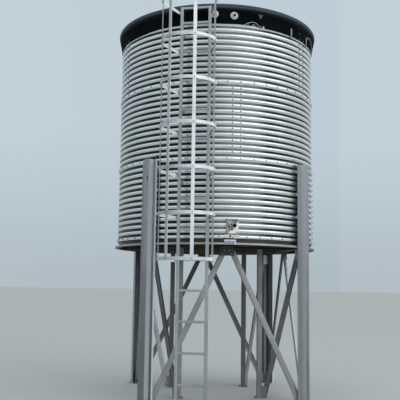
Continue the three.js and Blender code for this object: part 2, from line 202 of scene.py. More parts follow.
def ramp(tree, value, low, high, start=0.0, end=1.0):
    inputs = {"Value": value, "From Min": low, "From Max": high, "To Min": start, "To Max": end}
    return node(tree, "MapRange", inputs, interpolation_type="SMOOTHSTEP").outputs["Result"]


def mixed(tree, factor, a, b):
    """Two colours mixed, each a socket or a red, green and blue value"""
    first, second = ((*v, 1.0) if isinstance(v, tuple) else v for v in (a, b))
    return node(tree, "Mix", {0: factor, 6: first, 7: second}, data_type="RGBA").outputs[2]


def link_surface(tree, shader, colour, gloss, grain, strength, distance):
    """Links a material's colour, its roughness and its fine bump"""
    tree.links.new(colour, shader.inputs["Base Color"])
    tree.links.new(gloss, shader.inputs["Roughness"])
    bump = node(tree, "Bump", {"Height": grain, "Strength": strength, "Distance": distance})
    tree.links.new(bump.outputs["Normal"], shader.inputs["Normal"])


def galvanised(name, light, dark, rough, metallic, shade_layer=None, spangle=0.1, painted_light=None):
    """Zinc: crystals, cloudy tone, rain streaks, painted light where given, and painted shade, partly grimy,
    where a mask is given
    """
    material, tree, shader = new_material(name)
    tone = ramp(tree, clouds(tree, 1.7, 5), 0.35, 0.68)
    streak = ramp(tree, clouds(tree, 14, 4, (1, 1, 0.05)), 0.45, 0.75)
    crystals = node(tree, "TexVoronoi", {"Vector": mapped(tree), "Scale": 85.0, "Randomness": 1.0})
    grey = node(tree, "RGBToBW", {"Color": crystals.outputs["Color"]}).outputs[0]
    shade = ramp(tree, grey, 0.1, 0.9, 1.0 - spangle, 1.0 + spangle)
    colour = scaled(tree, mixed(tree, tone, light, dark), shade)
    colour = mixed(tree, times(tree, streak, 0.35), colour, dark)
    if painted_light:
        colour = painted_light(tree, colour)
    if shade_layer:
        mask, shade_tone = shade_layer(tree)
        colour = mixed(tree, mask, colour, shade_tone)
        tree.links.new(ramp(tree, mask, 0.0, 1.0, metallic, 0.1), shader.inputs["Metallic"])
    else:
        shader.inputs["Metallic"].default_value = metallic
    gloss = ramp(tree, clouds(tree, 5.0, 5), 0.3, 0.7, *rough)
    link_surface(tree, shader, colour, gloss, clouds(tree, 160, 3), 0.12, 0.0006)
    return material


def from_axis(tree):
    """The way straight out from the silo's axis, and the distance from it"""
    offset = vectors(tree, "SUBTRACT", object_place(tree), (0, AXIS_Y, 0))
    flat = vectors(tree, "MULTIPLY", offset, (1, 1, 0))
    return vectors(tree, "NORMALIZE", flat), vectors(tree, "LENGTH", flat)


# The wall's painted groove shade: how far it hangs below a groove, where it is wider, and where the light
# makes it paler
SHADE_DROP = 0.0098
DARK_SIDE_TURN = -70
DARK_SIDE_WIDER = 0.0017
LIT_SIDE_TURN = 22


def groove_painted_shade(tree):
    """Painted shade and a painted dark reflection along the bottom of each groove, partly grimy"""
    out, radius = from_axis(tree)
    lean = part_of(tree, surface_normal(tree))
    lowered = numbers(tree, "MULTIPLY_ADD", lean, -SHADE_DROP, radius)
    # Painted shade: wider towards the wall's dark side, paler towards its lit side
    toward_dark_side = vectors(tree, "DOT_PRODUCT", out, tuple(outwards(DARK_SIDE_TURN)))
    wider = numbers(tree, "SUBTRACT", lowered, ramp(tree, toward_dark_side, 0.2, 0.6, 0.0, DARK_SIDE_WIDER))
    deep = ramp(tree, wider, GROOVE_RADIUS + 0.0064, GROOVE_RADIUS + 0.003)
    uneven = ramp(tree, clouds(tree, 6, 4, (1, 1, 0.4)), 0.25, 0.6, 0.97, 1.0)
    toward_lit_side = vectors(tree, "DOT_PRODUCT", out, tuple(outwards(LIT_SIDE_TURN)))
    uneven = times(tree, uneven, ramp(tree, toward_lit_side, 0.955, 0.995, 1.0, 0.8))
    return times(tree, deep, uneven), (0.006, 0.011, 0.013)


def sheltered_painted_shade(tree):
    """Painted shade on the sides of the frame that face inwards or down"""
    normal = surface_normal(tree)
    facing = vectors(tree, "DOT_PRODUCT", normal, from_axis(tree)[0])
    inward = ramp(tree, facing, 0.05, -0.55)
    down = ramp(tree, part_of(tree, normal), -0.1, -0.6)
    uneven = ramp(tree, clouds(tree, 3.5, 4, (1, 1, 0.3)), 0.25, 0.65, 0.7, 1.0)
    both = times(tree, numbers(tree, "ADD", inward, down), uneven)
    return times(tree, both, 0.75), (0.045, 0.048, 0.052)


def brace_painted_shade(tree):
    """The same painted shade, weaker towards the foot"""
    mask, shade_tone = sheltered_painted_shade(tree)
    height = part_of(tree, object_place(tree))
    return times(tree, mask, ramp(tree, height, 0.3, 1.6, 0.3, 1.0)), shade_tone


def recess_shade_and_grime(tree):
    """Painted shade, partly grimy, between the ring's lip and the wall, and under the ring"""
    recess = ramp(tree, from_axis(tree)[1], 1.4185, 1.417)
    down = ramp(tree, part_of(tree, surface_normal(tree)), -0.3, -0.8)
    return numbers(tree, "ADD", recess, down), (0.016, 0.016, 0.014)


def posts_painted_light(tree, colour):
    """The posts' faces, darker towards the foot, and the sides of their folds in painted light and shade:
    brightest near the wall, lit where they face right, shaded where they face left
    """
    out, radius = from_axis(tree)
    normal = surface_normal(tree)
    facing = vectors(tree, "DOT_PRODUCT", normal, out)
    flank = ramp(tree, numbers(tree, "ABSOLUTE", facing), 0.45, 0.25)
    height = part_of(tree, object_place(tree))
    colour = scaled(tree, colour, ramp(tree, height, 0.5, 2.4, 0.66, 1.0))
    bright = mixed(tree, ramp(tree, radius, 1.515, 1.44), (0.43, 0.46, 0.49), (0.72, 0.76, 0.8))
    dull = mixed(tree, ramp(tree, radius, 1.49, 1.53), (0.33, 0.355, 0.375), (0.375, 0.4, 0.42))
    dull = scaled(tree, dull, ramp(tree, height, 1.6, 2.6, 1.0, 1.3))
    side = mixed(tree, ramp(tree, part_of(tree, normal, "X"), -0.4, 0.1), dull, bright)
    return mixed(tree, flank, colour, side)


def bars_painted_light(tree, colour):
    """Flat bars in painted light and shade: darker where they face left and whitest where they face right"""
    side = part_of(tree, surface_normal(tree), "X")
    colour = scaled(tree, colour, ramp(tree, side, -0.6, 0.1, 0.66, 1.0))
    return mixed(tree, ramp(tree, side, 0.8, 0.97), colour, (0.95, 0.97, 0.98))


def stains(scale, detail, low, high, amount, tone, stretch=(1, 1, 1)):
    """A layer of stains or dust, for a patchy material"""
    def layer(tree):
        return times(tree, ramp(tree, clouds(tree, scale, detail, stretch), low, high), amount), tone
    return layer


def patchy(name, patches, tones, rough, grain, bump, layers=(), metallic=0.0, specular=0.5):
    """Two tones in cloudy patches, which are rougher too, under layers of a mask and a tone each"""
    material, tree, shader = new_material(name)
    shader.inputs["Metallic"].default_value = metallic
    shader.inputs["Specular IOR Level"].default_value = specular
    patch = ramp(tree, clouds(tree, *patches[:2]), *patches[2:])
    colour = mixed(tree, patch, *tones)
    for layer in layers:
        mask, tone = layer(tree)
        colour = mixed(tree, mask, colour, tone)
    link_surface(tree, shader, colour, ramp(tree, patch, 0, 1, *rough), clouds(tree, *grain), *bump)
    return material


def dark_plastic(name, tones, rough, specular=0.5, dusty=0.22, layers=()):
    dust = stains(22, 5, 0.5, 0.8, dusty, (0.1, 0.105, 0.11), (1, 1, 0.3))
    return patchy(name, (3.0, 5, 0.42, 0.68), tones, rough, (30, 5, (1, 1, 0.4)), (0.35, 0.002),
                  (dust, *layers), specular=specular)


def lip_shade(tree):
    """Near black at the lip's foot"""
    return ramp(tree, part_of(tree, object_place(tree)), 5.08, 5.064), (0.004, 0.007, 0.011)


def lighter_lower_right(tree):
    """The outlet plate's lower right, lighter than the rest"""
    x, y = cos(radians(OUTLET_TURN)), sin(radians(OUTLET_TURN))
    middle = wall_point(OUTLET_TURN, 1.403, OUTLET_HEIGHT)
    offset = vectors(tree, "SUBTRACT", object_place(tree), tuple(middle))
    slant = ramp(tree, vectors(tree, "DOT_PRODUCT", offset, (x, y, -0.9)), 0.0, 0.05)
    return times(tree, slant, ramp(tree, clouds(tree, 40, 4), 0.3, 0.6, 0.7, 1.0)), (0.78, 0.8, 0.77)


def plain_stage(name, colour):
    material, tree, shader = new_material(name)
    cloudy = mixed(tree, clouds(tree, 0.6, 3), colour, tuple(v * 0.97 for v in colour))
    tree.links.new(cloudy, shader.inputs["Base Color"])
    shader.inputs["Roughness"].default_value = 0.9
    return material


# How rough the zinc is, from its smoothest to its roughest place
CLEAN = (0.38, 0.5)
WORN = (0.42, 0.55)
DULL = (0.45, 0.6)

WALL = galvanised("wall_zinc", (0.8, 0.84, 0.84), (0.7, 0.75, 0.76), (0.24, 0.38), 0.9, groove_painted_shade, 0.06)
WALL.node_tree.nodes["Principled BSDF"].inputs["Specular IOR Level"].default_value = 0.1
POST = galvanised("post_zinc", (0.275, 0.3, 0.322), (0.215, 0.235, 0.258), WORN, 0.2, sheltered_painted_shade,
                  painted_light=posts_painted_light)
INNER = galvanised("inner_post_zinc", (0.29, 0.3, 0.31), (0.2, 0.21, 0.22), DULL, 0.4, sheltered_painted_shade)
# Lit and shaded copies of the frame's zinc: the diagonals' darker zinc is painted shade and the lit brace's
# paler zinc painted light
SHADED_DIAGONAL = galvanised("shaded_diagonal_zinc", (0.2, 0.205, 0.21), (0.13, 0.135, 0.14), DULL, 0.4, sheltered_painted_shade)
LIT_BRACE = galvanised("lit_brace_zinc", (0.62, 0.66, 0.68), (0.5, 0.54, 0.56), WORN, 0.3)
BRACE = galvanised("brace_zinc", (0.33, 0.335, 0.335), (0.25, 0.255, 0.255), WORN, 0.4, brace_painted_shade)
LADDER = galvanised("ladder_zinc", (0.4, 0.43, 0.45), (0.32, 0.35, 0.37), CLEAN, 0.7)
CAGE = galvanised("cage_zinc", (0.66, 0.7, 0.72), (0.52, 0.56, 0.58), (0.34, 0.46), 0.45, painted_light=bars_painted_light)
# A shaded copy of the cage's zinc, for its two outer bars: painted shade
SHADED_BAR = galvanised("shaded_bar_zinc", (0.36, 0.38, 0.39), (0.28, 0.3, 0.31), CLEAN, 0.45)
RING = galvanised("ring_zinc", (0.42, 0.42, 0.41), (0.3, 0.295, 0.285), (0.4, 0.55), 0.6, recess_shade_and_grime)
BOLT = galvanised("bolt_zinc", (0.3, 0.32, 0.33), (0.2, 0.21, 0.22), CLEAN, 0.7)
SPLICE = galvanised("splice_zinc", (0.34, 0.345, 0.41), (0.25, 0.26, 0.33), WORN, 0.3)
EDGE = galvanised("splice_edge_zinc", (0.66, 0.68, 0.78), (0.55, 0.57, 0.68), (0.36, 0.5), 0.3)
FLANGE = galvanised("flange_zinc", (0.62, 0.66, 0.66), (0.44, 0.47, 0.47), CLEAN, 0.4)
CLIP = galvanised("clip_steel", (0.26, 0.31, 0.3), (0.18, 0.22, 0.21), DULL, 0.3)
TIE = galvanised("tie_wire", (0.5, 0.54, 0.5), (0.36, 0.4, 0.36), (0.4, 0.55), 0.3)
heat_stains = stains(55, 4, 0.6, 0.72, 0.7, (0.05, 0.055, 0.05))
rust_stains = stains(9, 6, 0.58, 0.75, 0.5, (0.11, 0.075, 0.045))
PLATE = patchy("plate_zinc", (26, 5, 0.38, 0.62), ((0.42, 0.42, 0.42), (0.17, 0.18, 0.17)), (0.38, 0.6),
               (120, 4), (0.25, 0.0008), (lighter_lower_right, heat_stains), 0.6)
# Near black in cloudy patches, with rust stains
UNDER = patchy("underside_near_black", (2.4, 6, 0.35, 0.65), ((0.04, 0.037, 0.032), (0.085, 0.08, 0.07)),
               (0.5, 0.75), (60, 4), (0.3, 0.001), (rust_stains,), 0.35)
WHITE = patchy("fitting_white", (30, 4, 0.35, 0.7), ((0.62, 0.64, 0.63), (0.48, 0.49, 0.47)), (0.35, 0.5),
               (180, 3), (0.15, 0.0004))
FLAP = dark_plastic("flap_grey", ((0.06, 0.054, 0.072), (0.085, 0.078, 0.095)), (0.45, 0.6), 0.3, 0.1)
# The lip's blue-grey tones are a painted reflection of the sky on black plastic, and lip_shade paints shade
# at its foot
LIP = dark_plastic("rim_lip_black_painted_sheen", ((0.03, 0.048, 0.07), (0.04, 0.062, 0.088)), (0.46, 0.58), 0.2, 0.04,
                   (lip_shade,))
BAND = dark_plastic("band_black", ((0.0006, 0.0024, 0.0042), (0.005, 0.0055, 0.0085)), (0.72, 0.86),
                    0.03, 0.015)
ROOF = dark_plastic("roof_black", ((0.016, 0.019, 0.022), (0.03, 0.034, 0.038)), (0.4, 0.58))


# Mesh helpers
def grid_faces(columns, rows, first=0, inwards=False, open_columns=False, open_rows=False):
    """Faces between points in columns of so many rows, closed both ways unless open"""
    faces = []
    for column in range(columns - open_columns):
        here, there = (first + k % columns * rows for k in (column, column + 1))
        for row in range(rows - open_rows):
            above = (row + 1) % rows
            a, b, c, d = here + row, there + row, there + above, here + above
            faces.append([a, d, c, b] if inwards else [a, b, c, d])
    return faces


class Shape:
    """Vertices and faces of one piece, gathered from simple closed forms"""

    def __init__(self):
        self.points = []
        self.faces = []

    def add(self, points, faces, place=None):
        start = len(self.points)
        self.points += [place @ Vector(p) if place else Vector(p) for p in points]
        self.faces += [[start + i for i in face] for face in faces]
        return self

    def prism(self, outline, low, high, place=None):
        """A closed outline in XY drawn out along Z"""
        area = sum(a[0] * b[1] - b[0] * a[1] for a, b in zip(outline, outline[1:] + outline[:1]))
        ring = outline if area > 0 else outline[::-1]
        count = len(ring)
        points = [(x, y, z) for z in (low, high) for x, y in ring]
        faces = [list(range(count))[::-1], list(range(count, 2 * count))]
        faces += [[i, (i + 1) % count, count + (i + 1) % count, count + i] for i in range(count)]
        return self.add(points, faces, place)

    def block(self, x, half_x, y0, y1, z, half_z, place):
        """A box, from its middle along X and Z, and from its two ends along Y"""
        outline = [(x - half_x, y0), (x + half_x, y0), (x + half_x, y1), (x - half_x, y1)]
        return self.prism(outline, z - half_z, z + half_z, place)

    def lathe(self, profile, steps, place):
        """A closed profile of (radius, height) turned round Z"""
        points = []
        for step in range(steps):
            a = 2 * pi * step / steps
            points += [(r * sin(a), -r * cos(a), z) for r, z in profile]
        return self.add(points, grid_faces(steps, len(profile)), place)

    def disc_stack(self, profile, steps, place):
        """A closed turned form whose first and last radius is 0"""
        inner = profile[1:-1]
        points = [(0, 0, profile[0][1]), (0, 0, profile[-1][1])]
        count = len(inner)
        faces = grid_faces(steps, count, 2, open_rows=True)
        for step in range(steps):
            a = 2 * pi * step / steps
            points += [(r * cos(a), r * sin(a), z) for r, z in inner]
            here, there = 2 + step * count, 2 + ((step + 1) % steps) * count
            faces.append([0, there, here])
            faces.append([1, here + count - 1, there + count - 1])
        return self.add(points, faces, place)

    def disc(self, radius, low, high, steps, place):
        return self.disc_stack([(0, low), (radius, low), (radius, high), (0, high)], steps, place)

    def wire(self, line, radius, sides=8):
        """A round wire along a line of points"""
        normal = (line[1] - line[0]).orthogonal()
        points = []
        last = len(line) - 1
        for i, point in enumerate(line):
            way = (line[min(i + 1, last)] - line[max(i - 1, 0)]).normalized()
            normal = (normal - way * normal.dot(way)).normalized()
            other = way.cross(normal)
            for k in range(sides):
                a = 2 * pi * k / sides
                points.append(point + (normal * cos(a) + other * sin(a)) * radius)
        faces = [list(range(sides))[::-1], [last * sides + k for k in range(sides)]]
        return self.add(points, faces + grid_faces(last + 1, sides, inwards=True, open_columns=True))


def shell(outer, inner, rows, closed=False):
    """A sheet with two skins, points in columns of so many rows; where closed, the rows meet again"""
    back = len(outer)
    last = back - rows
    faces = grid_faces(back // rows, rows, 0, False, True, not closed)
    faces += grid_faces(back // rows, rows, back, True, True, not closed)
    if not closed:
        for a in range(0, last, rows):
            b, c, d = a + rows, a + rows - 1, a + 2 * rows - 1
            faces += [[a, back + a, back + b, b], [c, d, back + d, back + c]]
    for row in range(rows if closed else rows - 1):
        above = (row + 1) % rows
        faces.append([row, above, back + above, back + row])
        faces.append([last + row, back + last + row, back + last + above, last + above])
    return Shape().add(outer + inner, faces)


def plain_object(shape, name):
    mesh = bpy.data.meshes.new(name)
    mesh.from_pydata([tuple(p) for p in shape.points], [], shape.faces)
    return new_object(name, mesh)


def cut_from(shape, cutter):
    """The shape with another closed form, or several that stand apart, taken out of it"""
    whole = plain_object(shape, "whole")
    tool = plain_object(cutter, "tool")
    taken = whole.modifiers.new("taken", "BOOLEAN")
    taken.operation = "DIFFERENCE"
    taken.object = tool
    mesh = bpy.data.meshes.new_from_object(whole.evaluated_get(bpy.context.evaluated_depsgraph_get()))
    for helper in (whole, tool):
        bpy.data.objects.remove(helper)
    return Shape().add([v.co for v in mesh.vertices], [list(p.vertices) for p in mesh.polygons])


SHARP_ANGLE = radians(35)
BEVEL_ANGLE = radians(40)


def link_piece(shape, name, material, replaces=(), bevel=0.0):
    piece = plain_object(shape, name)
    mesh = piece.data
    mesh.validate()
    mesh.update()
    mesh.materials.append(material)
    for polygon in mesh.polygons:
        polygon.use_smooth = True
    mesh.set_sharp_from_angle(angle=SHARP_ANGLE)
    if bevel:
        rounding = piece.modifiers.new("rounding", "BEVEL")
        rounding.width = bevel
        rounding.segments = 2
        rounding.limit_method = "ANGLE"
        rounding.angle_limit = BEVEL_ANGLE
        rounding.harden_normals = True
    if replaces:
        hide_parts(*replaces)
    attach(piece, "root")


def rounded_line(line, radii, steps=3):
    """A line with each inner corner turned into an arc of its radius"""
    made = [line[0]]
    for before, point, after, radius in zip(line, line[1:], line[2:], radii):
        ahead = (point - before).normalized()
        on = (after - point).normalized()
        turn = atan2(ahead.x * on.y - ahead.y * on.x, ahead.dot(on))
        reach = radius * tan(abs(turn) / 2)
        start = point - ahead * reach
        side = Vector((-ahead.y, ahead.x)) * (1 if turn > 0 else -1)
        centre = start + side * radius
        made += [centre + (start - centre) @ Matrix.Rotation(-turn * i / steps, 2) for i in range(steps + 1)]
    return made + [line[-1]]


def folded(path, thick=FRAME_THICK, bend=0.004):
    """Outline of a sheet bent along a line, thickened to the line's right, its bends rounded"""
    line = [Vector(p) for p in path]
    ways = [(b - a).normalized() for a, b in zip(line, line[1:])]
    rights = [Vector((w.y, -w.x)) for w in ways]
    shifted = []
    for i, point in enumerate(line):
        first, second = rights[max(i - 1, 0)], rights[min(i, len(rights) - 1)]
        across = (first + second).normalized()
        shifted.append(point + across * (thick / across.dot(first)))
    turns = [a.x * b.y - a.y * b.x for a, b in zip(ways, ways[1:])]
    near = rounded_line(line, [bend if t > 0 else bend + thick for t in turns])
    far = rounded_line(shifted, [bend + thick if t > 0 else bend for t in turns])
    return [tuple(p) for p in near + far[::-1]]


def rounded_box(half_x, half_y, radius, steps=3):
    outline = []
    for x, y, start in ((1, 1, 0), (-1, 1, 90), (-1, -1, 180), (1, -1, 270)):
        for i in range(steps + 1):
            a = radians(start + 90 * i / steps)
            outline.append((x * (half_x - radius) + radius * cos(a),
                            y * (half_y - radius) + radius * sin(a)))
    return outline


def along(start, end, side):
    """Frame with Z from start to end and Y nearest to a given side"""
    way = (Vector(end) - Vector(start)).normalized()
    across = Vector(side).cross(way).normalized()
    place = Matrix((across, way.cross(across), way)).transposed().to_4x4()
    place.translation = start
    return place


def on_wall(turn, r, z, x=0.0):
    """Frame at a place on the wall, with Z straight out and Y up"""
    return turned(turn) @ along((x, -r, z), (x, -r - 1, z), (0, 0, 1))


# Turns that stand an outline on edge along x, and upright facing out
SIDEWAYS = Matrix(((0, 0, 1, 0), (1, 0, 0, 0), (0, 1, 0, 0), (0, 0, 0, 1)))
UPRIGHT = Matrix(((1, 0, 0, 0), (0, 0, -1, 0), (0, 1, 0, 0), (0, 0, 0, 1)))


def bolt(shape, spot, out, size, washer=1.3, stub=0.0, turn=0.3):
    """Hexagon head and washer on a face, and a threaded stub where a nut stands for the head"""
    way = Vector(out).normalized()
    side = (0, 0, 1) if abs(way.z) < 0.9 else (1, 0, 0)
    place = along(spot, spot + way, side) @ Matrix.Rotation(turn, 4, "Z")
    thin = size * 0.12
    tall = thin + size * 0.55
    corner = size / 2 / cos(pi / 6)
    shape.disc(size * washer / 2, -0.001, thin, 14, place)
    shape.disc_stack([(0, thin * 0.5), (corner, thin * 0.5), (corner, tall - size * 0.09),
                      (corner * 0.84, tall), (0, tall)], 6, place)
    if stub:
        end = tall + stub
        shape.disc_stack([(0, tall - 0.001), (size * 0.3, tall - 0.001), (size * 0.3, end - 0.001),
                          (size * 0.24, end), (0, end)], 10, place)


# Wall
LAP_HALF = 3.6
COLUMN_HALF = 2.2
SHEET_TURN = 120
SHEET_SEAMS = (89, 19, 69)
LAP_SHIFTS = (5.5, 2.0, -2.6)
SHEET_STEPS = 51
ROWS_PER_PITCH = 10
COURSES = ("lower", "middle", "upper")
SEAM_BOLTS = 49
SEAM_BOLT_START = 23.3


def smooth(value):
    value = min(max(value, 0.0), 1.0)
    return value * value * (3 - 2 * value)


def wall_radius(z):
    course = min(max(int((z - LOWEST_GROOVE) / COURSE_RISE), 0), 2)
    local = z - LOWEST_GROOVE - course * COURSE_RISE
    plain = (GROOVES - 1) * PITCH
    phase = local / PITCH
    if local > plain and course < 2:
        phase = (local - plain) / SEAM_PITCH
    return GROOVE_RADIUS + (CREST_RADIUS - GROOVE_RADIUS) * (1 - cos(2 * pi * phase)) / 2


def course_heights(course):
    foot = WALL_FOOT if course == 0 else groove_height(course, 0) - SEAM_PITCH / 2 - 0.02
    top = WALL_TOP if course == 2 else groove_height(course, GROOVES - 1) + SEAM_PITCH / 2 + 0.012
    count = round((top - foot) / PITCH * ROWS_PER_PITCH)
    return [foot + (top - foot) * i / count for i in range(count + 1)]


def wall_sheet(course, start):
    """One curved sheet: its end laps over the next sheet, its foot over the course below"""
    heights = course_heights(course)
    first = groove_height(course, 0)
    outer = []
    inner = []
    for step in range(SHEET_STEPS + 1):
        turn = start - LAP_HALF + (SHEET_TURN + 2 * LAP_HALF) * step / SHEET_STEPS
        side = smooth((turn - (start + SHEET_TURN - LAP_HALF - 4)) / 4)
        for z in heights:
            below = smooth((first - 0.01 - z) / 0.02) if course else 0.0
            r = wall_radius(z) + LAP_PROUD * (side + 2 * below)
            r += 0.0005 * noise.noise(Vector((turn * 0.11, z * 1.3, course * 7.0)))
            outer.append(wall_point(turn, r, z))
            inner.append(wall_point(turn, r - SHEET_THICK, z))
    return shell(outer, inner, len(heights))


def build_wall():
    bolts = Shape()

    def wall_bolt(turn, z, proud):
        bolt(bolts, wall_point(turn, CREST_RADIUS + proud, z), outwards(turn), SMALL_BOLT, 1.5)

    for course, name in enumerate(COURSES):
        for i in range(3):
            start = SHEET_SEAMS[course] + LAP_SHIFTS[course] + SHEET_TURN * i
            sheet = f"{name}_wall_sheet_{i + 1}"
            link_piece(wall_sheet(course, start), f"corrugated_{sheet}", WALL, [sheet])
            for side in (-COLUMN_HALF, COLUMN_HALF):
                for crest in range(GROOVES - 1):
                    wall_bolt(start + side, groove_height(course, crest + 0.5), LAP_PROUD)
    seam = GROOVES - 1 + SEAM_PITCH / PITCH / 2
    for course, groove, shift, laps in ((0, seam, 0, 2), (1, seam, 0, 2), (0, -0.5, 0.5, 0)):
        for i in range(SEAM_BOLTS):
            turn = SEAM_BOLT_START + 360 * (i + shift) / SEAM_BOLTS
            wall_bolt(turn, groove_height(course, groove), laps * LAP_PROUD)
    link_piece(bolts, "wall_bolts", BOLT)


# Bottom ring, floor and beams
RING_PROFILE = [
    (1.366, 2.0), (1.372, 2.0), (1.4225, 2.0), (1.425, 2.0025), (1.425, 2.025), (1.424, 2.026),
    (1.42, 2.026), (1.419, 2.025), (1.419, 2.0085), (1.4165, 2.006), (1.375, 2.006), (1.372, 2.0085),
    (1.372, 2.1115), (1.3715, 2.112), (1.3665, 2.112), (1.366, 2.1115)
]
BEAM_HALF = 0.0225
BEAM_TALL = 0.0917
RING_INSIDE = 1.3655


def chord_half(away):
    """Half the length of a beam inside the ring, at a distance from the silo's axis"""
    return sqrt(RING_INSIDE ** 2 - (away + BEAM_HALF) ** 2) - 0.002


def build_base():
    link_piece(Shape().lathe(RING_PROFILE, 180, turned(0)), "rolled_bottom_ring", RING, ["bottom_ring"])
    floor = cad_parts["floor_plate"]
    floor.data.materials.clear()
    floor.data.materials.append(UNDER)

    channel = folded([(BEAM_HALF, 0), (-BEAM_HALF, 0), (-BEAM_HALF, BEAM_TALL), (BEAM_HALF, BEAM_TALL)])
    section = [(-x, z) for x, z in channel]
    cross_half = INNER_OUT - BEAM_HALF - CLEAR
    bolts = Shape()
    for side, turn in (("front", 0), ("back", 180), ("inner_front", 0), ("inner_back", 180), ("right", 90),
                       ("left", -90)):
        away = INNER_OUT if "inner" in side else BAY_PLANE
        half = cross_half if side in ("right", "left") else chord_half(away)
        place = bay(turn)
        start = place @ moved(-half, -away, RING_BOTTOM) @ SIDEWAYS
        shape = Shape().prism(section, 0, 2 * half, start)
        if away == BAY_PLANE:
            shape.block(0, 0.095, -away - 0.004, -away + 0.004, RING_BOTTOM - 0.058, 0.062, place)
            for x, drop in ((-0.06, 0.095), (-0.03, 0.05), (0.03, 0.05), (0.06, 0.095)):
                spot = place @ Vector((x, -away - 0.004, RING_BOTTOM - drop))
                bolt(bolts, spot, outwards(BAY_TURN + turn), BRACE_BOLT)
        name = f"floor_beam_{side}"
        link_piece(shape, f"channel_{name}", UNDER, [name], 0.0008)
    link_piece(bolts, "head_plate_bolts", BOLT)


# Posts
POST_START = 0.005
POST_TOP = 3.11
INNER_TOP = 1.9997
BASE_TOP = 0.01
LAND = 1.4293
FACE_OUT = 1.5193
POST_HALF = 0.108
POST_LIP = 0.036
SPACER_OUT = 0.0765
INNER_HALF = 0.0325
INNER_LIP = 0.0165
PLATE_HALF = 0.004
HAT_HALF = [(POST_HALF, -LAND - POST_LIP), (POST_HALF, -LAND), (0.045, -LAND), (0.039, -FACE_OUT)]
HAT = HAT_HALF + [(-x, y) for x, y in HAT_HALF[::-1]]
LIPPED_CHANNEL = [(INNER_HALF, -INNER_LIP), (INNER_HALF, -INNER_HALF), (-INNER_HALF, -INNER_HALF),
                  (-INNER_HALF, INNER_HALF), (INNER_HALF, INNER_HALF), (INNER_HALF, INNER_LIP)]

# The slot near the top of one post's face, and a dark plate a little larger behind it: painted shade
SLOT_SIDE = 0.0235
SLOT_HALF = 0.0085
SLOT_HEIGHT = 2.859
SLOT_HALF_TALL = 0.025
SHADE_PLATE_HALF_TALL = 0.032

# A foot plate's outline, along the bay and up
FOOT_PLATE = [(0, 0.008), (0.074, 0.008), (0.086, 0.081), (0.12, 0.16), (0, 0.16)]


def with_slot(shape, place):
    face = -FACE_OUT
    slot = Shape().block(SLOT_SIDE, SLOT_HALF, face - 0.01, face + 0.01, SLOT_HEIGHT, SLOT_HALF_TALL, place)
    # Painted shade: a dark plate inside the post, a little larger than the slot
    shade_plate = Shape().block(SLOT_SIDE - 0.002, 0.012, face + 0.0045, face + 0.0075,
                          SLOT_HEIGHT, SHADE_PLATE_HALF_TALL, place)
    link_piece(shade_plate, "slot_painted_shade_plate", BAND)
    return cut_from(shape, slot)


def build_posts():
    hat = folded(HAT, bend=0.005)
    lipped_channel = folded(LIPPED_CHANNEL)
    bolts = Shape()
    anchors = Shape()
    plates = Shape()
    for i, corner in enumerate(CORNERS):
        turn = 45 + 90 * i
        place = bay(turn)
        shape = Shape().prism(hat, POST_START, POST_TOP, place)
        if corner == "front_left":
            shape = with_slot(shape, place)
        shape.block(0, POST_HALF + 0.012, -FACE_OUT - 0.025, -1.4003, BASE_TOP / 2, BASE_TOP / 2, place)
        for row in range(6):
            z = groove_height(0, 1.5 + 2 * row)
            for x in (-SPACER_OUT, SPACER_OUT):
                if row % 2:
                    shape.block(x, 0.016, -1.4273, -1.394, z, 0.02, place)
                bolt(bolts, place @ Vector((x, -LAND, z)), outwards(BAY_TURN + turn), POST_BOLT)
        shape.block(0, PLATE_HALF, -FACE_OUT + 0.002, -1.3303, 1.921, 0.071, place)
        for side in (-1, 1):
            back = LAND - 0.002
            foot = place @ moved(side * (back - BAY_PLANE * sqrt(2)), -back, 0, 45 * side)
            plates.prism(FOOT_PLATE, -PLATE_HALF, PLATE_HALF, foot @ SIDEWAYS)
            outer_spot = place @ Vector((side * 0.08, -1.497, BASE_TOP))
            bolt(anchors, outer_spot, (0, 0, 1), ANCHOR_BOLT, 1.5, 0.022, 0.4 * i + side)
            inner_spot = place @ Vector((side * 0.014, -1.412, BASE_TOP))
            bolt(anchors, inner_spot, (0, 0, 1), BRACE_BOLT, 1.2, 0.012, 0.2)
        link_piece(shape, f"folded_outer_post_{corner}", POST, [f"outer_post_{corner}"], 0.001)

        along_bay, across_bay = ((1, -1), (1, 1), (-1, 1), (-1, -1))[i]
        foot = bay(0) @ moved(along_bay * INNER_OUT, across_bay * INNER_OUT)
        inner = Shape().prism(lipped_channel, POST_START, INNER_TOP, foot)
        inner.block(0, 0.055, -0.055, 0.055, BASE_TOP / 2, BASE_TOP / 2, foot)
        inner.block(0, PLATE_HALF, -0.125, -0.03, 0.084, 0.076, foot @ moved(turn=turn))
        for x, y in ((0.046, -0.046), (-0.046, 0.046), (-0.046, -0.046), (0.046, 0.046)):
            if (x, y) != (0.046 * along_bay, 0.046 * across_bay):
                bolt(anchors, foot @ Vector((x, y, BASE_TOP)), (0, 0, 1), SMALL_BOLT, 1.3, 0.012)
        link_piece(inner, f"folded_inner_post_{corner}", INNER, [f"inner_post_{corner}"], 0.001)
    link_piece(plates, "brace_foot_plates", BRACE, bevel=0.0008)
    link_piece(bolts, "post_bolts", BOLT)
    link_piece(anchors, "anchor_bolts", BOLT)


# Braces: the foot and the head of each bay's left and right brace, and of each diagonal
BAY_BRACES = {"a": ((-0.918, 0.095), (-0.028, 1.962)), "b": ((0.938, 0.095), (0.06, 1.962))}
DIAGONAL_BRACE = ((INNER_OUT * sqrt(2) + 0.081, 0.062), (1.3653, 1.94))
BRACE_HALF = 0.036
BRACE_DEEP = 0.025
BRACE_PATH = [(BRACE_HALF, BRACE_DEEP), (BRACE_HALF, 0), (-BRACE_HALF, 0), (-BRACE_HALF, BRACE_DEEP)]
FACE_GAP = 0.0043


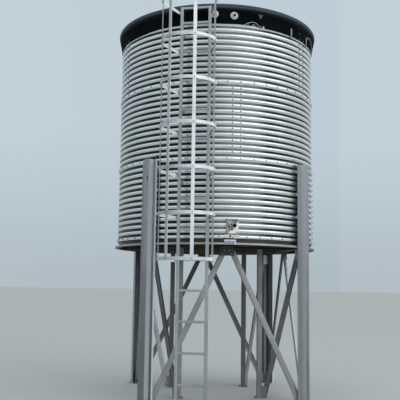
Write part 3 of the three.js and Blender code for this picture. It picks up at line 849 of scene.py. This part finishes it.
def build_braces():
    section = folded(BRACE_PATH)
    bolts = Shape()

    def add_brace(name, ends, y, turn, material):
        place = bay(turn)
        low, high = (Vector((x, y, z)) for x, z in ends)
        shape = Shape().prism(section, 0, (high - low).length, place @ along(low, high, (0, 1, 0)))
        link_piece(shape, f"channel_{name}", material, [name], 0.0008)
        way = (high - low).normalized()
        for spot in (low + way * 0.022, low + way * 0.062, high - way * 0.02, high - way * 0.055):
            bolt(bolts, place @ (spot + Vector((0, 0.004, 0))), -outwards(BAY_TURN + turn), BRACE_BOLT)

    for i, name in enumerate(BAYS):
        for letter, ends in BAY_BRACES.items():
            # Painted light: one bay brace takes the lit copy of the brace zinc
            material = LIT_BRACE if (name, letter) == ("right", "a") else BRACE
            add_brace(f"brace_{name}_{letter}", ends, FACE_GAP - BAY_PLANE, 90 * i, material)
    # Painted light and shade: one diagonal takes the lit copy, one the plain brace zinc, the rest the shaded
    # copy
    lit_and_shaded_copies = {"back_left": LIT_BRACE, "back_right": BRACE}
    for i, corner in enumerate(CORNERS):
        add_brace(f"diagonal_{corner}", DIAGONAL_BRACE, FACE_GAP, 90 * i - 45, lit_and_shaded_copies.get(corner, SHADED_DIAGONAL))
    link_piece(bolts, "brace_bolts", BOLT)


# Ladder and cage
RAIL_HALF = 0.019
RAIL_TOP = 5.045
RUNG_HALF = 0.0145
RUNG_HEIGHTS = [0.29 + 0.3785 * i for i in range(13)] + [RAIL_TOP - 0.014]
STAND_OFF_HEIGHTS = [groove_height(0, 8.5), groove_height(1, 7.5), groove_height(2, 7.5)]
HOOP_THICK = 0.006
HOOP_HALF_TALL = 0.02
HOOP_STEPS = 48
BAR_HALF = 0.021


def hoop_outline(end):
    """A flat bar bent from rail to rail round the cage, seen from above"""
    outline = []
    for radius, x, order in ((HOOP_RADIUS, end + HOOP_THICK, 1), (HOOP_RADIUS - HOOP_THICK, end, -1)):
        line = [(x, -LADDER_OUT + RAIL_HALF)]
        for k in range(HOOP_STEPS + 1):
            a = pi / 2 - pi * k / HOOP_STEPS
            line.append((radius * sin(a), -LADDER_OUT - HOOP_OUT - radius * cos(a)))
        line.append((-x, -LADDER_OUT + RAIL_HALF))
        outline += line[::order]
    return outline


def build_ladder():
    shape = Shape()
    bolts = Shape()
    place = turned(0)
    tube = rounded_box(RAIL_HALF, RAIL_HALF, 0.004)
    rung = rounded_box(RUNG_HALF, RUNG_HALF, 0.0035)
    for side in (-1, 1):
        x = side * RAIL_OUT
        wall = -sqrt(CREST_RADIUS ** 2 - (abs(x) + 0.02) ** 2) - 0.001
        shape.prism(tube, 0.0, RAIL_TOP, place @ moved(x, -LADDER_OUT))
        for z in STAND_OFF_HEIGHTS:
            shape.block(x, 0.003, -LADDER_OUT, wall - 0.005, z, 0.02, place)
            shape.block(x, 0.02, wall - 0.006, wall + 0.01, z, 0.03, place)
            for dz in (0.015, -0.015):
                spot = place @ Vector((x + side * 0.012, wall - 0.006, z + dz))
                bolt(bolts, spot, (0, -1, 0), SMALL_BOLT)
    for z in RUNG_HEIGHTS:
        way = along((-RAIL_OUT, -LADDER_OUT, z), (RAIL_OUT, -LADDER_OUT, z), (0, 0, 1))
        shape.prism(rung, 0, 2 * RAIL_OUT, place @ way)
    link_piece(shape, "welded_ladder", LADDER, ["ladder"], 0.0006)

    end = RAIL_OUT + RAIL_HALF + CLEAR
    for i, height in enumerate(HOOP_HEIGHTS):
        hoop = Shape().prism(hoop_outline(end), height - HOOP_HALF_TALL, height + HOOP_HALF_TALL, place)
        link_piece(hoop, f"flat_cage_hoop_{i + 1}", CAGE, [f"cage_hoop_{i + 1}"], 0.001)
        for side in (-1, 1):
            spot = place @ Vector((side * (end + 0.0085), -LADDER_OUT + 0.002, height))
            bolt(bolts, spot, (side, 0, 0), 0.014)
        centre = place @ Vector((0, -LADDER_OUT - HOOP_OUT, height))
        for k in BAR_FLATS:
            out = outwards(k * 180 / HOOP_FLATS)
            bolt(bolts, centre + out * HOOP_RADIUS, out, SMALL_BOLT, 1.2)
            bolt(bolts, centre + out * (HOOP_RADIUS - 0.0145), -out, SMALL_BOLT, 1.2)
    face = -(HOOP_RADIUS - HOOP_THICK) * cos(pi / HOOP_FLATS / 2) + CLEAR
    middle = (HOOP_HEIGHTS[0] + HOOP_HEIGHTS[-1]) / 2
    half_tall = middle - HOOP_HEIGHTS[0] + HOOP_HALF_TALL
    for i, k in enumerate(BAR_FLATS):
        way = place @ moved(y=-LADDER_OUT - HOOP_OUT, turn=k * 180 / HOOP_FLATS)
        bar = Shape().block(0, BAR_HALF, face, face + HOOP_THICK, middle, half_tall, way)
        # Painted shade: the two outer bars take the shaded copy of the cage's zinc
        material = SHADED_BAR if k in (BAR_FLATS[0], BAR_FLATS[-1]) else CAGE
        link_piece(bar, f"flat_cage_bar_{i + 1}", material, [f"cage_bar_{i + 1}"], 0.001)
    link_piece(bolts, "ladder_bolts", BOLT)


# Rim: a band that hangs over the wall's upper edge, and the lip rolled over it
SKIN_STEPS = 288
TOP_CRESTS = (4.951, 5.0275)
TIE_RADIUS = 0.004
BAND_PROFILE = [
    (1.398, 4.906), (1.4005, 4.905), (1.402, 4.907), (1.4024, 4.922), (1.4024, 4.932), (1.4026, 4.941),
    (1.4028, 4.951), (1.4026, 4.961), (1.4024, 4.975), (1.4024, 4.995), (1.4026, 5.015), (1.4028, 5.0275),
    (1.4026, 5.038), (1.404, 5.046), (1.406, 5.052), (1.3985, 5.052)
]
LIP_PROFILE = [
    (1.399, 5.046), (1.406, 5.047), (1.412, 5.052), (1.424, 5.057), (1.4345, 5.062), (1.442, 5.072),
    (1.446, 5.086), (1.4466, 5.098), (1.444, 5.112), (1.4375, 5.123), (1.428, 5.13), (1.415, 5.1318),
    (1.396, 5.132), (1.3725, 5.132), (1.3725, 5.1192), (1.399, 5.1192)
]


def turned_skin(profile, wobble):
    """A profile turned round the axis, each point moved by what wobble says for its place"""
    points = []
    for step in range(SKIN_STEPS):
        turn = 360 * step / SKIN_STEPS
        a = radians(turn)
        for i, (r, z) in enumerate(profile):
            dr, dz = wobble(i, z, Vector((sin(a) * 9, cos(a) * 9, z * 6)))
            points.append(wall_point(turn, r + dr, z + dz))
    return Shape().add(points, grid_faces(SKIN_STEPS, len(profile)))


def band_drop(turn):
    """How far the band's foot hangs below its highest place, least in front"""
    return 0.034 + 0.012 * max(smooth((turn - 31) / 4), smooth((-22 - turn) / 16))


def band_bulge(turn, z):
    """How far the band leans out towards the lip, on the silo's two sides only"""
    return 0.028 * max(smooth((turn - 66) / 22), smooth((-46 - turn) / 22)) * smooth((z - 4.885) / 0.17)


def band_wobble(i, z, where):
    """The band's three foot points hang unevenly, its three top ones only lean, the rest is creased"""
    turn = degrees(atan2(where.x, where.y))
    if i < 3:
        return 0.0, -band_drop(turn) + 0.003 * noise.noise(where * 1.7)
    bulge = band_bulge(turn, z)
    if i > 12:
        return bulge if i < len(BAND_PROFILE) - 1 else 0.0, 0.0
    over = sum(exp(-((z - crest) / 0.01) ** 2) for crest in TOP_CRESTS)
    dr = 0.0012 + 0.0034 * over + 0.0022 * noise.noise(where) + 0.0014 * noise.noise(where * 3.1)
    return dr + bulge, 0.0


def lip_wobble(i, z, where):
    if i < 2 or i > 11:
        return 0.0, 0.0
    return -0.0008 - 0.0006 * noise.noise(where), 0.0


def build_rim():
    band = turned_skin(BAND_PROFILE, band_wobble)
    link_piece(band, "liner_band", BAND, ["rim_band"])
    lip = turned_skin(LIP_PROFILE, lip_wobble)
    link_piece(lip, "rolled_rim_lip", LIP, ["rim_band"])


def build_rim_marks():
    clips = Shape()
    for turn, foot, top in ((55.7, 4.85, 4.97), (72.7, 4.845, 4.974)):
        path = [(-1.3995, foot - 0.01), (-1.4005, 4.853), (-1.4125, 4.871),
                (-1.4125, top - 0.012), (-1.4065, top)]
        clips.prism(folded(path, 0.002, 0.002), -0.0125, 0.0125, turned(turn) @ SIDEWAYS)
    link_piece(clips, "band_strap_clips", CLIP, bevel=0.0004)

    arch = [
        (24.4, 1.3995, 4.872), (25.2, 1.405, 4.881), (26.3, 1.412, 4.897), (27.7, 1.415, 4.91),
        (29.0, 1.4155, 4.918), (30.2, 1.4155, 4.917), (31.4, 1.415, 4.909), (32.3, 1.408, 4.889),
        (33.6, 1.403, 4.88), (35.7, 1.3995, 4.876)
    ]
    stem = [(26.8, 1.412, 4.898), (26.7, 1.406, 4.886), (26.6, 1.3995, 4.86)]
    eye = []
    for k in range(11):
        a = 2 * pi * k / 12
        eye.append((30.1 + 0.85 * cos(a), 1.405 - 0.002 * cos(a), 4.885 + 0.009 * sin(a)))
    loop = [
        (72.7, 1.415, 4.925), (73.4, 1.418, 4.95), (74.4, 1.42, 4.972), (76.0, 1.422, 4.984),
        (78.0, 1.423, 4.979), (80.5, 1.421, 4.958), (83.0, 1.417, 4.928), (84.8, 1.408, 4.886),
        (86.0, 1.3995, 4.85)
    ]
    ties = Shape()
    for line, thickness in ((arch, 1.0), (stem, 1.0), (eye, 0.7), (loop, 1.0)):
        ties.wire([wall_point(*p) for p in line], TIE_RADIUS * thickness)
    link_piece(ties, "bent_tie_wires", TIE)

    outline = [(-0.014, 4.858), (0.014, 4.858), (0.003, 4.892), (-0.003, 4.892)]
    tab = Shape().prism(outline, 1.4035, 1.406, turned(35.9) @ UPRIGHT)
    link_piece(tab, "bright_tab", WHITE, bevel=0.0004)
    outline = [(-0.036, 5.036), (-0.004, 4.984), (0.006, 4.98), (0.034, 5.03), (0.03, 5.04)]
    flap = Shape().prism(outline, 1.411, 1.4135, turned(33.9) @ UPRIGHT)
    link_piece(flap, "torn_band_flap", FLAP, bevel=0.0006)


# Roof, with its hatch and cap; their heights are counted from the roof's foot
ROOF_FOOT = 5.1323
ROOF_RISE = 0.19
ROOF_THICK = 0.014
RIB_TALL = 0.014
ROOF_RADII = [0.02, 0.16, 0.3, 0.45, 0.6, 0.75, 0.9, 1.05, 1.2, 1.32, 1.396]
ROOF_SIDES = 144
SIDES_PER_RIB = 6
CAP_PROFILE = [
    (0, 0.168), (0.15, 0.168), (0.158, 0.182), (0.16, 0.198), (0.15, 0.207), (0.05, 0.209), (0, 0.21)
]
HATCH_PROFILE = [
    (0, 0.075), (0.236, 0.045), (0.238, 0.11), (0.25, 0.11), (0.25, 0.132), (0.243, 0.138), (0.12, 0.139),
    (0, 0.14)
]
HATCH_OUT = 0.78


def build_roof():
    top = []
    under = []
    for r in ROOF_RADII:
        z = ROOF_FOOT + (ROOF_RISE - ROOF_THICK) * (1 - r / ROOF_RADII[-1])
        for step in range(ROOF_SIDES):
            rib = RIB_TALL if 0.15 < r < 1.25 and step % SIDES_PER_RIB == 0 else 0.0
            top.append(wall_point(360 * step / ROOF_SIDES, r, z + ROOF_THICK + rib))
            under.append(wall_point(360 * step / ROOF_SIDES, r, z))
    shape = shell(top, under, ROOF_SIDES, closed=True)
    foot = turned(0) @ moved(z=ROOF_FOOT)
    shape.disc_stack(CAP_PROFILE, 48, foot)
    hatch = foot @ moved(y=-HATCH_OUT)
    shape.disc_stack(HATCH_PROFILE, 48, hatch)
    for x in (-0.06, 0.06):
        shape.block(x, 0.02, -0.262, -0.225, 0.12, 0.016, hatch)
    shape.block(0, 0.05, 0.232, 0.262, 0.12, 0.014, hatch)
    link_piece(shape, "ribbed_roof", ROOF, ["roof_cone"])


# Fittings; a plate's hole is a place across and up it, and a radius
PORT_PROFILE = [
    (0.032, 0.004), (0.04, 0.004), (0.04, 0.012), (0.034, 0.014), (0.0325, 0.048), (0.031, 0.05),
    (0.026, 0.05), (0.025, 0.048), (0.025, 0.008), (0.026, 0.004)
]
SOCKET_PROFILE = [
    (0.019, 0.0), (0.049, 0.0), (0.05, 0.0015), (0.05, 0.0085), (0.0485, 0.01), (0.03, 0.0105),
    (0.029, 0.013), (0.029, 0.0305), (0.0275, 0.032), (0.0205, 0.032), (0.019, 0.0305)
]
OUTLET_HOLES = (
    (-0.003, -0.042, 0.013), (-0.04, -0.018, 0.011), (-0.036, -0.046, 0.01), (-0.048, 0.012, 0.008),
    (0.021, 0.07, 0.009)
)
FLANGE_HOLES = ((-0.024, 0.0, 0.013), (0.012, -0.012, 0.006))
SPLICE_TURN = 17.78
SPLICE_FACE = 1.4254
SPLICE_HALF = degrees(0.0745 / SPLICE_FACE)


def seat_radius(radius):
    """Where a fitting sits, just clear of a solid's many-sided wall"""
    return radius / cos(radians(5)) + CLEAR


def bent_strip(low_turn, high_turn, near, far):
    outline = []
    for r, order in ((near, 1), (far, -1)):
        arc = [low_turn + (high_turn - low_turn) * k / 8 for k in range(9)]
        outline += [tuple(wall_point(turn, r, 0).xy) for turn in arc[::order]]
    return outline


def discs(spots, low, high, place):
    """Discs at places across and up a plate, each with its radius"""
    made = Shape()
    for x, y, r in spots:
        made.disc(r, low, high, 20, place @ moved(x, y))
    return made


def build_outlet(bolts):
    back = seat_radius(CREST_RADIUS)
    plate = on_wall(OUTLET_TURN, back, OUTLET_HEIGHT)
    outlet = Shape().prism(rounded_box(0.081, 0.094, 0.008), 0, 0.006, plate)
    outlet = cut_from(outlet, discs(OUTLET_HOLES, -0.01, 0.02, plate))
    port = on_wall(OUTLET_TURN, back, OUTLET_HEIGHT + 0.004, 0.023)
    outlet.lathe(PORT_PROFILE, 40, port)
    link_piece(outlet, "outlet_plate_and_port", PLATE, ["outlet_fitting"], 0.0008)
    # Painted shade: a dark disc down the port, and a dark plate behind the outlet plate that shows through
    # its holes
    dark = Shape().disc(0.0252, 0.0065, 0.012, 32, port)
    dark.prism(rounded_box(0.078, 0.091, 0.008), -0.012, 0.0002, plate)
    link_piece(dark, "outlet_painted_shade", BAND)
    for x in (-0.066, 0.066):
        for y in (-0.079, 0.079):
            bolt(bolts, plate @ Vector((x, y, 0.006)), outwards(OUTLET_TURN), 0.015)

    low = on_wall(OUTLET_TURN, CREST_RADIUS - 0.003, 2.106)
    flange = Shape().prism(rounded_box(0.1, 0.0215, 0.0214, 8), 0, 0.009, low)
    flange = cut_from(flange, discs(FLANGE_HOLES, 0.004, 0.02, low))
    link_piece(flange, "outlet_lower_flange", FLANGE, bevel=0.0008)
    # Painted shade: dark discs in the flange's holes
    link_piece(discs(FLANGE_HOLES, 0.002, 0.0055, low), "lower_flange_hole_shade", BAND)


def build_fittings():
    bolts = Shape()
    build_outlet(bolts)
    for i, (turn, height) in enumerate(((8.8, 4.996), (19.1, 4.983))):
        spot = on_wall(turn, seat_radius(1.4028), height)
        link_piece(Shape().lathe(SOCKET_PROFILE, 40, spot), f"flanged_overflow_fitting_{i + 1}", WHITE,
                   [f"overflow_fitting_{i + 1}"])
        # Painted shade: a dark disc down each fitting's socket
        bore_shade = Shape().disc(0.0192, 0.001, 0.006, 24, spot)
        link_piece(bore_shade, f"overflow_bore_shade_{i + 1}", BAND)
        for k in range(4):
            a = pi / 4 + k * pi / 2
            bolt_spot = spot @ Vector((0.04 * cos(a), 0.04 * sin(a), 0.01))
            bolt(bolts, bolt_spot, outwards(turn), 0.007, 1.2)

    left, right = SPLICE_TURN - SPLICE_HALF, SPLICE_TURN + SPLICE_HALF
    splice = Shape().prism(bent_strip(left, right, SPLICE_FACE, SPLICE_FACE + 0.006), 2.0, 2.062)
    link_piece(splice, "ring_splice", SPLICE, ["ring_splice_plate"], 0.001)
    near, far = SPLICE_FACE + 0.0045, SPLICE_FACE + 0.0085
    edges = Shape().prism(bent_strip(left, right, near, far), 2.047, 2.0625)
    edges.prism(bent_strip(right - 0.42, right + 0.02, near, far), 2.0, 2.0475)
    link_piece(edges, "ring_splice_edges", EDGE, bevel=0.0006)
    for shift in (-1.9, -0.2, 1.5):
        turn = SPLICE_TURN + shift
        bolt(bolts, wall_point(turn, SPLICE_FACE + 0.006, 2.024), outwards(turn), 0.017)
    link_piece(bolts, "fitting_bolts", BOLT)


# Stage: pale floor and a soft surround that glows in front, to the right
GLOW = (1.2, 1.22, 1.21)
SKY_LEVELS = (
    (-180, 0.0), (-140, 0.05), (-105, 0.2), (-70, 0.28), (-35, 0.33), (0, 0.5), (24, 0.68), (40, 0.88),
    (52, 0.93), (64, 0.8), (76, 0.6), (90, 0.44), (108, 0.42), (135, 0.34), (165, 0.04)
)
FLOOR_HALF = 400
LIGHT_TURN = 60
LIGHT_OUT = 11.0
LIGHT_HEIGHT = 7.0


def build_stage():
    corners = [(x * FLOOR_HALF, y * FLOOR_HALF, -0.001) for x, y in ((-1, -1), (1, -1), (1, 1), (-1, 1))]
    floor = plain_object(Shape().add(corners, [[0, 1, 2, 3]]), "floor")
    floor.data.materials.append(plain_stage("pale_floor", (0.52, 0.52, 0.5)))

    world = bpy.data.worlds.new("surround")
    bpy.context.scene.world = world
    world.use_nodes = True
    tree = world.node_tree
    background = tree.nodes["Background"]
    direction = node(tree, "TexCoord").outputs["Generated"]
    height = part_of(tree, direction)
    sky = mixed(tree, ramp(tree, height, 0.0, 0.22), (0.42, 0.49, 0.53), (0.51, 0.6, 0.66))
    back = numbers(tree, "SUBTRACT", 0.0, part_of(tree, direction, "Y"))
    turn = numbers(tree, "ARCTAN2", part_of(tree, direction, "X"), back)
    round_way = node(tree, "MapRange", {"Value": turn, "From Min": -pi, "From Max": pi})
    levels = node(tree, "ValToRGB", {"Fac": round_way.outputs["Result"]})
    levels.color_ramp.interpolation = "B_SPLINE"
    stops = levels.color_ramp.elements
    while len(stops) < len(SKY_LEVELS):
        stops.new(1.0)
    for stop, (turn_at, level) in zip(stops, SKY_LEVELS):
        stop.position = (turn_at + 180) / 360
        stop.color = (level, level, level, 1.0)
    tree.links.new(mixed(tree, levels.outputs["Color"], sky, GLOW), background.inputs["Color"])
    background.inputs["Strength"].default_value = 1.0

    data = bpy.data.lights.new("key_light", "AREA")
    data.shape = "RECTANGLE"
    data.size, data.size_y = 13.0, 8.0
    data.energy = 350
    data.color = (1.0, 0.99, 0.97)
    lamp = new_object("key_light", data)
    spot = turned(LIGHT_TURN) @ Vector((0, -LIGHT_OUT, LIGHT_HEIGHT))
    way = (Vector((0, AXIS_Y, 2.8)) - spot).normalized()
    lamp.matrix_world = Matrix.Translation(spot) @ way.to_track_quat("-Z", "Y").to_matrix().to_4x4()


add_camera()
build_wall()
build_base()
build_posts()
build_braces()
build_ladder()
build_rim()
build_rim_marks()
build_roof()
build_fittings()
build_stage()
bpy.context.scene.view_settings.view_transform = "Standard"
